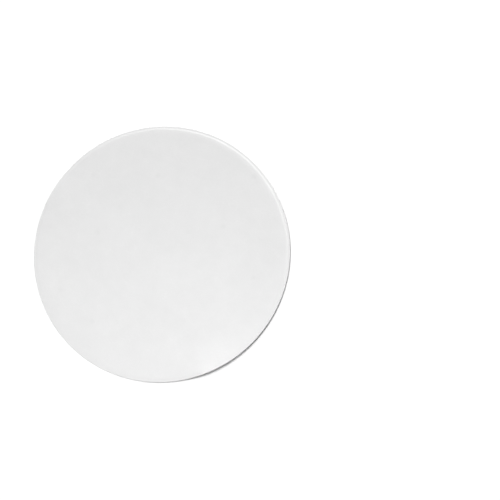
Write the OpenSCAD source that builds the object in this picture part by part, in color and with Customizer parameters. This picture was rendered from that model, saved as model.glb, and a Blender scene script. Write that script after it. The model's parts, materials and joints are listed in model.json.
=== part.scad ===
// Filter paper disc for a flat-bottomed funnel or a clamped filter holder.
//
// One sheet of thick, soft cellulose paper, cut round with a steel die. It lies flat with its smooth wire
// side down on z = 0 and its softer felt side up, and the origin is the centre of the underside. The disc
// is one full turn of the section below, and all of its form is at the rim: the die presses a narrow band
// of the felt side down and leaves a soft slope above it, rolls the top corner over as the blade goes in,
// shears the land below it square, and leaves a small soft corner where the blade comes out. All lengths
// are in millimetres.

/* [Disc] */
// Diameter of the disc over its cut edge
disc_d = 90; // [20:1:320]
// Thickness of the sheet inside the pressed band
sheet_t = 0.4; // [0.2:0.05:2]

/* [Pressed band] */
// Width of the flat band that the die presses down along the rim
band_w = 0.4; // [0.3:0.1:3]
// Width of the slope that leads down to the band from the open face
slope_w = 1; // [0.2:0.1:3]
// Depth of the band below the open face
press_h = 0.07; // [0.01:0.01:0.12]

/* [Cut edge] */
// Radius of the shoulder that the blade rolls over on its way in
shoulder_r = 0.12; // [0.02:0.01:0.25]
// Radius of the soft corner where the blade comes out
foot_r = 0.04; // [0.01:0.01:0.1]

/* [Hidden] */

// Sides of a drawn circle
$fn = 240;

// Stations of the section, outwards from the axis
rim_r = disc_d / 2;
band_in_r = rim_r - band_w;
slope_in_r = band_in_r - slope_w;

// Heights of the section, and the most of the rim's height that each rounded corner may take
band_z = sheet_t - press_h;
shoulder_share = 0.6;
foot_share = 0.25;
shoulder = min(shoulder_r, band_z * shoulder_share);
foot = min(foot_r, band_z * foot_share);

// The slope's two arcs, which are equal and meet halfway down
arc_run = slope_w / 2;
arc_drop = press_h / 2;
arc_r = (arc_run * arc_run + arc_drop * arc_drop) / (2 * arc_drop);

paper_white = [0.93, 0.93, 0.92];

// The paper under the slope, as half of a section: x runs out from the axis, y is height. The upper arc
// bends down out of the open face, and the lower one runs out level into the band.
module slope_section() {
    intersection() {
        translate([slope_in_r, 0]) square([arc_run, sheet_t]);
        translate([slope_in_r, sheet_t - arc_r]) circle(arc_r);
    }
    difference() {
        translate([band_in_r - arc_run, 0]) square([arc_run, band_z + arc_drop]);
        translate([band_in_r, band_z + arc_r]) circle(arc_r);
    }
}

// Half of the disc's section before its corners are rounded
module blank_section() {
    square([slope_in_r, sheet_t]);
    slope_section();
    square([rim_r, band_z]);
}

// What rounding takes off an outer corner, drawn from the centre of a quarter round of radius r. The square
// is twice as wide as the round, so that it reaches past both faces of the corner.
module corner_waste(r)
    difference() {
        square(2 * r);
        circle(r);
    }

// The finished half section, with the rolled shoulder above the land and the soft foot below it
module disc_section()
    difference() {
        blank_section();
        translate([rim_r - shoulder, band_z - shoulder]) corner_waste(shoulder);
        translate([rim_r - foot, foot]) mirror([0, 1]) corner_waste(foot);
    }

// The whole disc, in one piece
module filter_disc()
    color(paper_white)
    rotate_extrude() disc_section();

filter_disc();
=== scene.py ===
"""Looks of the filter paper disc: the sheet, its paper and the studio round it.

The sheet is one closed mesh that stands for the flat solid. It keeps the solid's section and adds what a
real sheet has: a faint cockle and a slightly lifted rim that both faces share, the mark of a die that pressed
deeper and dragged the felt down on one side, the thick and thin spots of the pulp, and a slightly ragged cut
edge. Fibres, felt and specks are in its material, with painted shade that makes the cut edge darker than the
faces. Named sizes are in millimetres, apart from those of the floor and the lamps, which are in metres.
"""

import json
import math

import bpy
import numpy as np
from mathutils import Matrix, Vector, noise


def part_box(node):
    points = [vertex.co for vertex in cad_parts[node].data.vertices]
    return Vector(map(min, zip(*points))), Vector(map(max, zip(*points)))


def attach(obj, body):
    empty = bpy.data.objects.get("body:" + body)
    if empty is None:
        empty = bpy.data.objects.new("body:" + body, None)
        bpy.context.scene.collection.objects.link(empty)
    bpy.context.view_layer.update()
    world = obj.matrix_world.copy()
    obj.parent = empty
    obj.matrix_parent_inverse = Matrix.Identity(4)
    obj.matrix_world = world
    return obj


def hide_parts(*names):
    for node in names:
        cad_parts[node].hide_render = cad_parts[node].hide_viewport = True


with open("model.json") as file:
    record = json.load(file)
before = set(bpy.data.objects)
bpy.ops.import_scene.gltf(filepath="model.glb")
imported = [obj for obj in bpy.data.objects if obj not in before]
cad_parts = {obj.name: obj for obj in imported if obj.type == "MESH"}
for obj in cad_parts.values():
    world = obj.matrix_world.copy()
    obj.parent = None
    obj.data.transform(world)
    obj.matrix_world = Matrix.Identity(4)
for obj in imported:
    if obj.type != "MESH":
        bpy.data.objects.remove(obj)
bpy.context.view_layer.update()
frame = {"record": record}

MM = 0.001  # metres in a millimetre

# ---------------------------------------------------------------- sizes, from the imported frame

NODE = "filter_disc"
rim_mount = next(m for m in frame["record"]["mounts"] if m["name"] == "rim")

RIM_R = rim_mount["dims"]["r_mm"]
SHEET_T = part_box(NODE)[1].z / MM
LAND_MIDDLE = rim_mount["pos_m"][2] / MM
LAND_H = rim_mount["dims"]["length_mm"]

# The pressed band along the rim, which no mount states
BAND_W = 0.4
SLOPE_W = 1.0
PRESS_H = 0.07

FACE_R = RIM_R - BAND_W - SLOPE_W
BAND_Z = SHEET_T - PRESS_H
FOOT_R = LAND_MIDDLE - LAND_H / 2
SHOULDER_R = BAND_Z - (LAND_MIDDLE + LAND_H / 2)

# ---------------------------------------------------------------- the sheet's form

RIM_LIFT = 0.88  # how far the rim stands off the floor at its crest
RIM_CREST = math.radians(-69.5)
LIFT_ENDS = math.radians(10), math.radians(40)  # where a quarter of it is left, clockwise and anticlockwise
LIFT_STEEPNESS = 7  # the higher, the nearer to the rim the lift starts

UNEVEN_PRESS = 0.7  # the die came down askew: that share deeper on one side, and as much shallower opposite
BLADE_DRAG = 0.08  # how far the blade dragged the felt's edge down on its deep side
DRAG_REACH = 1.5  # how far in from the slope that starts
DEEP_SIDE = math.radians(52)

# Uneven surfaces, as waves that are added up: the height of each, its length and its slice of the noise
COCKLE = ((0.14, 30.0, 63.7), (0.02, 15.0, 11.2))
PULP_SPOTS = ((0.0060, 7.0, 21.3), (0.0035, 3.1, 37.9), (0.0024, 1.3, 53.1))
TORN_FIBRES = ((0.010, 0.9, 71.0), (0.007, 0.45, 83.0))


def waves(kind, points, shift=0.0):
    """Gradient noise over the plane, summed over the waves of one kind."""
    total = np.zeros(len(points))
    for height, length, cut in kind:
        total += height * np.array([noise.noise((x / length, y / length, cut + shift)) for x, y in points])
    return total


def bend(points):
    """How the whole sheet departs from flat: its rim lifts along a bell curve, and all of it cockles."""
    reach = np.hypot(points[:, 0], points[:, 1]) / RIM_R
    angle = np.arctan2(points[:, 1], points[:, 0])
    past_crest = (angle - RIM_CREST + math.pi) % (2 * math.pi) - math.pi
    near_crest = (1 + (past_crest / np.where(past_crest < 0, *LIFT_ENDS)) ** 2) ** -2
    return RIM_LIFT * reach**LIFT_STEEPNESS * near_crest + waves(COCKLE, points)


def extra_press(points, height):
    """How much deeper than in the solid the die left the paper, at points that lie at that height."""
    deepness = np.cos(np.arctan2(points[:, 1], points[:, 0]) - DEEP_SIDE)
    pressed = min((SHEET_T - height) / PRESS_H, height / BAND_Z) * PRESS_H * UNEVEN_PRESS
    past_start = np.hypot(points[:, 0], points[:, 1]) - (FACE_R - DRAG_REACH)
    dragged = np.clip(past_start / (DRAG_REACH + SLOPE_W / 2), 0, 1) ** 2 * min(height / BAND_Z, 1)
    return pressed * deepness + dragged * BLADE_DRAG * np.maximum(deepness, 0) ** 2


# ---------------------------------------------------------------- the sheet's mesh

SIXTHS = 6  # a ring of a face has six more corners than the ring inside it
FELT_RINGS = 120
WIRE_RINGS = FELT_RINGS // 2
RIM_SIDES = 2 * SIXTHS * FELT_RINGS
SLOPE_STEPS, SHOULDER_STEPS, LAND_STEPS, FOOT_STEPS = 8, 5, 3, 3

# Where the underside's rings get fewer corners, inwards from the rim
HALVING_INSET = 3 * FOOT_R
WIRE_INSET = 10 * FOOT_R


def circle_points(radius, count):
    turn = np.arange(count) * (2 * math.pi / count)
    return radius * np.stack([np.cos(turn), np.sin(turn)], 1)


def face_points(radius, rings):
    """Corners of a flat face, ring by ring from its centre."""
    inner = [circle_points(radius * ring / rings, SIXTHS * ring) for ring in range(1, rings + 1)]
    return np.concatenate([np.zeros((1, 2))] + inner)


def face_triangles(rings):
    """The triangles between those corners, counterclockwise from above."""

    def corner(ring, step):
        if ring == 0:
            return 0
        return 1 + SIXTHS * ring * (ring - 1) // 2 + step % (SIXTHS * ring)

    triangles = []
    for ring in range(1, rings + 1):
        for sixth in range(SIXTHS):
            for step in range(ring):
                outer = sixth * ring + step
                inner = sixth * (ring - 1) + step
                start, end = corner(ring, outer), corner(ring, outer + 1)
                triangles.append((start, end, corner(ring - 1, inner)))
                if step < ring - 1:
                    triangles.append((corner(ring - 1, inner), end, corner(ring - 1, inner + 1)))
    return triangles


def band_of_quads(upper, lower, sides):
    """Faces between two rings of as many corners each, given by the numbers of their first corners."""
    steps = [(side, (side + 1) % sides) for side in range(sides)]
    return [(upper + here, lower + here, lower + after, upper + after) for here, after in steps]


def band_of_triangles(coarse, fine, sides):
    """Faces between a ring of corners and the ring outside it that has twice as many."""
    faces = []
    for side in range(sides):
        after = (side + 1) % sides
        middle = fine + 2 * side + 1
        faces.append((coarse + side, fine + 2 * side, middle))
        faces.append((coarse + side, middle, coarse + after))
        faces.append((coarse + after, middle, fine + 2 * after))
    return faces


def turned_over(faces, first=0):
    """Faces seen from the other side, with their corners numbered from a later one."""
    return [tuple(first + corner for corner in reversed(face)) for face in faces]


def slope_drop(out):
    """How far the slope has dropped at that distance from its start, along the solid's two equal arcs."""
    run, drop = SLOPE_W / 2, PRESS_H / 2
    arc_r = (run**2 + drop**2) / (2 * drop)
    if out > run:
        return PRESS_H - slope_drop(SLOPE_W - out)
    return arc_r - math.sqrt(arc_r**2 - out**2)


def rim_profile():
    """Radius, height and raggedness of each ring of corners, from the slope round to the underside."""
    rings = []
    for out in np.linspace(0, SLOPE_W, SLOPE_STEPS + 1)[1:]:
        rings.append((FACE_R + out, SHEET_T - slope_drop(out), 0.0))
    rings.append((RIM_R - (BAND_W + SHOULDER_R) / 2, BAND_Z, 0.0))
    for turn in np.linspace(0, math.pi / 2, SHOULDER_STEPS + 1):
        out, down = SHOULDER_R * math.sin(turn), SHOULDER_R * (1 - math.cos(turn))
        rings.append((RIM_R - SHOULDER_R + out, BAND_Z - down, math.sin(turn)))
    for down in np.linspace(0, LAND_H, LAND_STEPS + 1)[1:-1]:
        rings.append((RIM_R, LAND_MIDDLE + LAND_H / 2 - down, 1.0))
    for turn in np.linspace(0, math.pi / 2, FOOT_STEPS + 1):
        rings.append((RIM_R - FOOT_R * (1 - math.cos(turn)), FOOT_R * (1 - math.sin(turn)), math.cos(turn)))
    return rings


def sheet_layers():
    """The sheet's corners: those of the felt face, of each ring of the rim, and of the underside."""
    felt = face_points(FACE_R, FELT_RINGS)
    felt_z = SHEET_T + waves(PULP_SPOTS, felt) - extra_press(felt, SHEET_T) + bend(felt)
    layers = [np.column_stack([felt, felt_z])]
    for number, (radius, height, ragged) in enumerate(rim_profile()):
        ring = circle_points(radius, RIM_SIDES)
        ring *= 1 + ragged * waves(TORN_FIBRES, ring, number)[:, None] / radius
        relief = (height / SHEET_T) ** 2 * waves(PULP_SPOTS, ring) - extra_press(ring, height)
        layers.append(np.column_stack([ring, height + relief + bend(ring)]))
    halving = circle_points(RIM_R - HALVING_INSET, RIM_SIDES // 2)
    wire = face_points(RIM_R - WIRE_INSET, WIRE_RINGS)
    return layers + [np.column_stack([flat, bend(flat)]) for flat in (halving, wire)]


def sheet_faces(layers):
    """The faces between those corners, which close the sheet."""
    ends = [int(end) for end in np.cumsum([len(layer) for layer in layers])]
    *rings, halving, wire = ends[:-1]
    felt_edge = rings[0] - RIM_SIDES // 2
    wire_edge = ends[-1] - RIM_SIDES // 4
    faces = face_triangles(FELT_RINGS) + band_of_triangles(felt_edge, rings[0], RIM_SIDES // 2)
    for upper, lower in zip(rings, rings[1:]):
        faces += band_of_quads(upper, lower, RIM_SIDES)
    faces += turned_over(band_of_triangles(halving, rings[-1], RIM_SIDES // 2))
    faces += turned_over(band_of_triangles(wire_edge, halving, RIM_SIDES // 4))
    return faces + turned_over(face_triangles(WIRE_RINGS), wire)


def paper_disc():
    layers = sheet_layers()
    corners = np.concatenate(layers)
    corners[:, 2] -= corners[:, 2].min()
    mesh = bpy.data.meshes.new("paper_disc")
    mesh.from_pydata((corners * MM).tolist(), [], sheet_faces(layers))
    mesh.validate()
    mesh.shade_smooth()
    disc = bpy.data.objects.new("paper_disc", mesh)
    bpy.context.scene.collection.objects.link(disc)
    return disc


# ---------------------------------------------------------------- materials


class Graph:
    """A material's nodes, with one short call for each kind that the paper needs."""

    def __init__(self, name):
        self.material = bpy.data.materials.new(name)
        self.material.use_nodes = True
        self.nodes = self.material.node_tree.nodes
        self.links = self.material.node_tree.links
        self.shader = self.nodes["Principled BSDF"]

    def join(self, value, socket):
        if isinstance(value, (int, float)):
            socket.default_value = value
        else:
            self.links.new(value, socket)

    def math(self, operation, first, second=0.0):
        node = self.nodes.new("ShaderNodeMath")
        node.operation = operation
        self.join(first, node.inputs[0])
        self.join(second, node.inputs[1])
        return node.outputs["Value"]

    def weighted(self, shares, level=0.0):
        """A level with each source added to it, times its weight."""
        result = level
        for source, weight in shares:
            result = self.math("ADD", self.math("MULTIPLY", source, weight), result)
        return result

    def remap(self, value, low, high, to_low, to_high):
        node = self.nodes.new("ShaderNodeMapRange")
        node.interpolation_type = "SMOOTHSTEP"
        self.join(value, node.inputs["Value"])
        for name, number in (("From Min", low), ("From Max", high), ("To Min", to_low), ("To Max", to_high)):
            node.inputs[name].default_value = number
        return node.outputs["Result"]

    def place(self):
        """The point on the sheet, in its own frame."""
        return self.nodes.new("ShaderNodeTexCoord").outputs["Object"]

    def uprightness(self, flat=0.9, upright=0.3):
        """0 on the faces and 1 on the cut edge, from the upward part of the sheet's own normal; it masks the
        painted shade on the cut edge.
        """
        normal = self.nodes.new("ShaderNodeSeparateXYZ")
        self.links.new(self.nodes.new("ShaderNodeTexCoord").outputs["Normal"], normal.inputs["Vector"])
        return self.remap(self.math("ABSOLUTE", normal.outputs["Z"]), upright, flat, 1.0, 0.0)

    def moved(self, place, offset, turn, stretch):
        """The place for a texture that is moved, turned and drawn out along its own x."""
        node = self.nodes.new("ShaderNodeMapping")
        node.vector_type = "TEXTURE"
        self.links.new(place, node.inputs["Vector"])
        node.inputs["Location"].default_value = (offset * MM, offset * MM, 0)
        node.inputs["Rotation"].default_value = (0, 0, turn)
        node.inputs["Scale"].default_value = (stretch, 1, 1)
        return node.outputs["Vector"]

    def noise(self, place, wavelength, detail=0.0, distortion=0.0):
        """Cloudy noise, 0 to 1 and mostly near its middle value."""
        node = self.nodes.new("ShaderNodeTexNoise")
        self.links.new(place, node.inputs["Vector"])
        node.inputs["Scale"].default_value = 1 / (wavelength * MM)
        node.inputs["Detail"].default_value = detail
        node.inputs["Distortion"].default_value = distortion
        return node.outputs["Fac"]

    def specks(self, place, spacing, radius, bare=0.5):
        """Soft spots strewn that far apart, 0 to 1, each of its own strength and that share of them bare."""
        node = self.nodes.new("ShaderNodeTexVoronoi")
        node.voronoi_dimensions = "2D"
        self.links.new(place, node.inputs["Vector"])
        node.inputs["Scale"].default_value = 1 / (spacing * MM)
        lot = self.nodes.new("ShaderNodeSeparateColor")
        self.links.new(node.outputs["Color"], lot.inputs["Color"])
        spot = self.remap(node.outputs["Distance"], 0.0, radius / spacing, 1.0, 0.0)
        return self.math("MULTIPLY", spot, self.remap(lot.outputs["Red"], bare, 1.0, 0.0, 1.0))


NOISE_MIDDLE = 0.5

FIBRE_LAYERS = 5
FIBRE_SPACING = 1.5  # how far apart the fibres of the first layer lie
SPACING_GROWTH = 0.15  # how much further apart they lie in each layer after it
FIBRE_SHARE = 0.03  # how much of the noise's range one fibre takes up
FIBRE_STRETCH, FIBRE_CURL = 1.8, 0.4
LAYER_SHIFT = 37.0


def fibre_web(graph, place):
    """Crossing fibres: each layer draws thin lines where a noise passes through its middle value."""
    layers = []
    for layer in range(FIBRE_LAYERS):
        spot = graph.moved(place, LAYER_SHIFT * (layer + 1), layer * math.pi / FIBRE_LAYERS, FIBRE_STRETCH)
        level = graph.noise(spot, FIBRE_SPACING * (1 + SPACING_GROWTH * layer), distortion=FIBRE_CURL)
        away = graph.math("ABSOLUTE", graph.math("SUBTRACT", level, NOISE_MIDDLE))
        layers.append((graph.remap(away, 0.0, FIBRE_SHARE, 1.0, 0.0), 1.0 / FIBRE_LAYERS))
    return graph.weighted(layers)


PAPER_WHITE = 0.777
PAPER_SPECULAR = 0.25
SMOOTHEST, ROUGHEST = 0.88, 0.98
FELT_LOW, FELT_HIGH = 0.3, 0.7  # the felt's noise where the paper is smoothest and where it is roughest

# What mottles the paper: how coarse it is, how many finer noises it carries, and how much brightness it adds
CLOUD_SIZE, CLOUD_DETAIL, CLOUD_TONE = 16.0, 2.0, 0.045
FLOC_SIZE, FLOC_DETAIL, FLOC_TONE = 4.0, 2.0, 0.024
FELT_SIZE, FELT_DETAIL, FELT_TONE = 0.7, 1.0, 0.012

# What marks it, and how much brightness that adds, with the painted shade that darkens the cut edge
FIBRE_TONE = 0.030
SPECK_SPACING, SPECK_R, SPECK_TONE = 11.0, 1.5, -0.025
# Painted shade: the cut edge is made darker than the faces, standing in for the shade in its open fibre ends
CUT_EDGE_PAINTED_SHADE = -0.16

# How high the felt and the fibres stand in the bump, in millimetres
FELT_RELIEF, FIBRE_RELIEF = 0.010, 0.006


def paper_material():
    graph = Graph("filter_paper")
    place = graph.place()
    clouds = graph.noise(place, CLOUD_SIZE, CLOUD_DETAIL)
    flocs = graph.noise(place, FLOC_SIZE, FLOC_DETAIL)
    felt = graph.noise(place, FELT_SIZE, FELT_DETAIL)
    web = fibre_web(graph, place)
    specks = graph.specks(place, SPECK_SPACING, SPECK_R)
    # Mask for the painted shade on the cut edge, from the sheet's own normal
    cut_edge_shade_mask = graph.uprightness()

    mottle = ((clouds, CLOUD_TONE), (flocs, FLOC_TONE), (felt, FELT_TONE))
    marks_and_shade = ((web, FIBRE_TONE), (specks, SPECK_TONE), (cut_edge_shade_mask, CUT_EDGE_PAINTED_SHADE))
    level = PAPER_WHITE - NOISE_MIDDLE * sum(weight for source, weight in mottle)
    graph.join(graph.weighted(mottle + marks_and_shade, level), graph.shader.inputs["Base Color"])
    roughness = graph.remap(felt, FELT_LOW, FELT_HIGH, SMOOTHEST, ROUGHEST)
    graph.join(roughness, graph.shader.inputs["Roughness"])
    graph.shader.inputs["Specular IOR Level"].default_value = PAPER_SPECULAR

    bump = graph.nodes.new("ShaderNodeBump")
    bump.inputs["Strength"].default_value = 1.0
    bump.inputs["Distance"].default_value = MM
    relief = graph.weighted(((felt, FELT_RELIEF), (web, FIBRE_RELIEF)))
    graph.join(relief, bump.inputs["Height"])
    graph.join(bump.outputs["Normal"], graph.shader.inputs["Normal"])
    return graph.material


FLOOR_WHITE = 0.98


def floor_material():
    graph = Graph("studio_floor")
    graph.shader.inputs["Base Color"].default_value = (FLOOR_WHITE, FLOOR_WHITE, FLOOR_WHITE, 1)
    graph.shader.inputs["Roughness"].default_value = 1.0
    graph.shader.inputs["Specular IOR Level"].default_value = 0.0
    return graph.material


# ---------------------------------------------------------------- the studio

FLOOR_HALF = 6.0  # in metres

# Each lamp's light on a level surface, where 1 turns a white one just white in the picture, and its size.
# Bearings are clockwise from the top of the picture. Angles are in degrees, a sun's size among them, and
# the fill's size and distance are in metres.
KEY_LIGHT, KEY_SIZE = 0.53, 16.0
KEY_BEARING, KEY_ELEVATION = 24.0, 25.0
FILL_LIGHT, FILL_SIZE = 0.24, 0.1
FILL_BEARING, FILL_ELEVATION, FILL_DISTANCE = 170.0, 60.0, 0.172
BACKDROP_LIGHT, BACKDROP_SIZE = 0.76, 30.0
BACKDROP_BEARING, BACKDROP_ELEVATION = -61.0, 57.0

# The surround's brightness, by the upward part of the line of sight
SWEEP_TOP, CEILING_START = 0.18, 0.5
SWEEP_WHITE, CEILING_GREY = 1.0, 0.22


def studio_floor():
    near, far = -FLOOR_HALF, FLOOR_HALF
    mesh = bpy.data.meshes.new("studio_floor")
    mesh.from_pydata([(near, near, 0), (far, near, 0), (far, far, 0), (near, far, 0)], [], [(0, 1, 2, 3)])
    mesh.materials.append(floor_material())
    floor = bpy.data.objects.new("studio_floor", mesh)
    bpy.context.scene.collection.objects.link(floor)
    return floor


def collection_of(name, piece):
    """A collection with one piece, for the lamps that light nothing else."""
    group = bpy.data.collections.new(name)
    group.objects.link(piece)
    return group


def add_lamp(name, kind, receivers, bearing, elevation, distance=1.0):
    """A lamp that shines at the disc's centre and lights only its receivers."""
    lamp = bpy.data.objects.new(name, bpy.data.lights.new(name, kind))
    bpy.context.scene.collection.objects.link(lamp)
    turn, rise = math.radians(bearing), math.radians(elevation)
    towards = Vector((math.sin(turn) * math.cos(rise), math.cos(turn) * math.cos(rise), math.sin(rise)))
    lamp.location = towards * distance
    lamp.rotation_mode = "QUATERNION"
    lamp.rotation_quaternion = towards.to_track_quat("Z", "Y")
    lamp.light_linking.receiver_collection = receivers
    lamp.visible_camera = False
    return lamp.data


def add_sun(name, light, size, receivers, bearing, elevation):
    sun = add_lamp(name, "SUN", receivers, bearing, elevation)
    sun.angle = math.radians(size)
    sun.energy = light * math.pi / math.sin(math.radians(elevation))


def add_softbox(name, light, size, receivers, bearing, elevation, distance):
    softbox = add_lamp(name, "AREA", receivers, bearing, elevation, distance)
    softbox.size = size
    softbox.energy = light * (math.pi * distance) ** 2 / math.sin(math.radians(elevation))


def studio_lights(floor, disc):
    """The floor has a lamp of its own, so that it is white while the disc stays just below white."""
    subject, backdrop = collection_of("subject", disc), collection_of("backdrop", floor)
    add_sun("key", KEY_LIGHT, KEY_SIZE, subject, KEY_BEARING, KEY_ELEVATION)
    add_softbox("fill", FILL_LIGHT, FILL_SIZE, subject, FILL_BEARING, FILL_ELEVATION, FILL_DISTANCE)
    add_sun("backdrop_key", BACKDROP_LIGHT, BACKDROP_SIZE, backdrop, BACKDROP_BEARING, BACKDROP_ELEVATION)


def studio_world():
    """A white surround up to a little above the horizon, as a swept backdrop is, under a dim ceiling."""
    world = bpy.data.worlds.new("studio")
    world.use_nodes = True
    nodes, links = world.node_tree.nodes, world.node_tree.links
    height = nodes.new("ShaderNodeSeparateXYZ")
    links.new(nodes.new("ShaderNodeTexCoord").outputs["Generated"], height.inputs["Vector"])
    glow = nodes.new("ShaderNodeMapRange")
    glow.interpolation_type = "SMOOTHSTEP"
    links.new(height.outputs["Z"], glow.inputs["Value"])
    glow.inputs["From Min"].default_value = SWEEP_TOP
    glow.inputs["From Max"].default_value = CEILING_START
    glow.inputs["To Min"].default_value = SWEEP_WHITE
    glow.inputs["To Max"].default_value = CEILING_GREY
    nodes["Background"].inputs["Color"].default_value = (1, 1, 1, 1)
    links.new(glow.outputs["Result"], nodes["Background"].inputs["Strength"])
    bpy.context.scene.world = world


# The photograph's frame and the disc's place in it, in pixels
PHOTO_SIDE = 500
DISC_X, DISC_Y = 160.8, 252.5
DISC_RADIUS = 129.6

SENSOR, LENS = 36.0, 100.0
TILT = 13.0  # how far the line of sight leans from the disc's axis, in degrees
TILT_TOWARDS = -43.0  # where the camera leans to in the picture, anticlockwise from the right, in degrees


def studio_camera():
    """Look at the disc from its tilt, turned so that the disc falls on its place in the frame."""
    lens = bpy.data.cameras.new("camera")
    lens.sensor_width = SENSOR
    lens.lens = LENS
    camera = bpy.data.objects.new("camera", lens)
    bpy.context.scene.collection.objects.link(camera)
    bpy.context.scene.camera = camera

    focal = LENS / SENSOR * PHOTO_SIDE  # the focal length in pixels
    tilt, lean = math.radians(TILT), math.radians(TILT_TOWARDS)
    towards = Vector((math.sin(tilt) * math.cos(lean), math.sin(tilt) * math.sin(lean), math.cos(tilt)))
    right = Vector((0, 1, 0)).cross(towards).normalized()
    facing = Matrix((right, towards.cross(right), towards)).transposed().to_quaternion()
    sight = Vector((DISC_X - PHOTO_SIDE / 2, PHOTO_SIDE / 2 - DISC_Y, -focal)).normalized()
    aside = sight.rotation_difference(Vector((0, 0, -1)))
    depth = focal * RIM_R * MM / DISC_RADIUS
    camera.rotation_mode = "QUATERNION"
    camera.rotation_quaternion = facing @ aside
    camera.location = Vector((0, 0, SHEET_T * MM)) + towards * (depth / -sight.z)


# ---------------------------------------------------------------- the scene

disc = paper_disc()
disc.data.materials.append(paper_material())
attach(disc, "root")
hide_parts(NODE)

floor = studio_floor()
studio_camera()
studio_world()
studio_lights(floor, disc)
bpy.context.scene.view_settings.view_transform = "Standard"
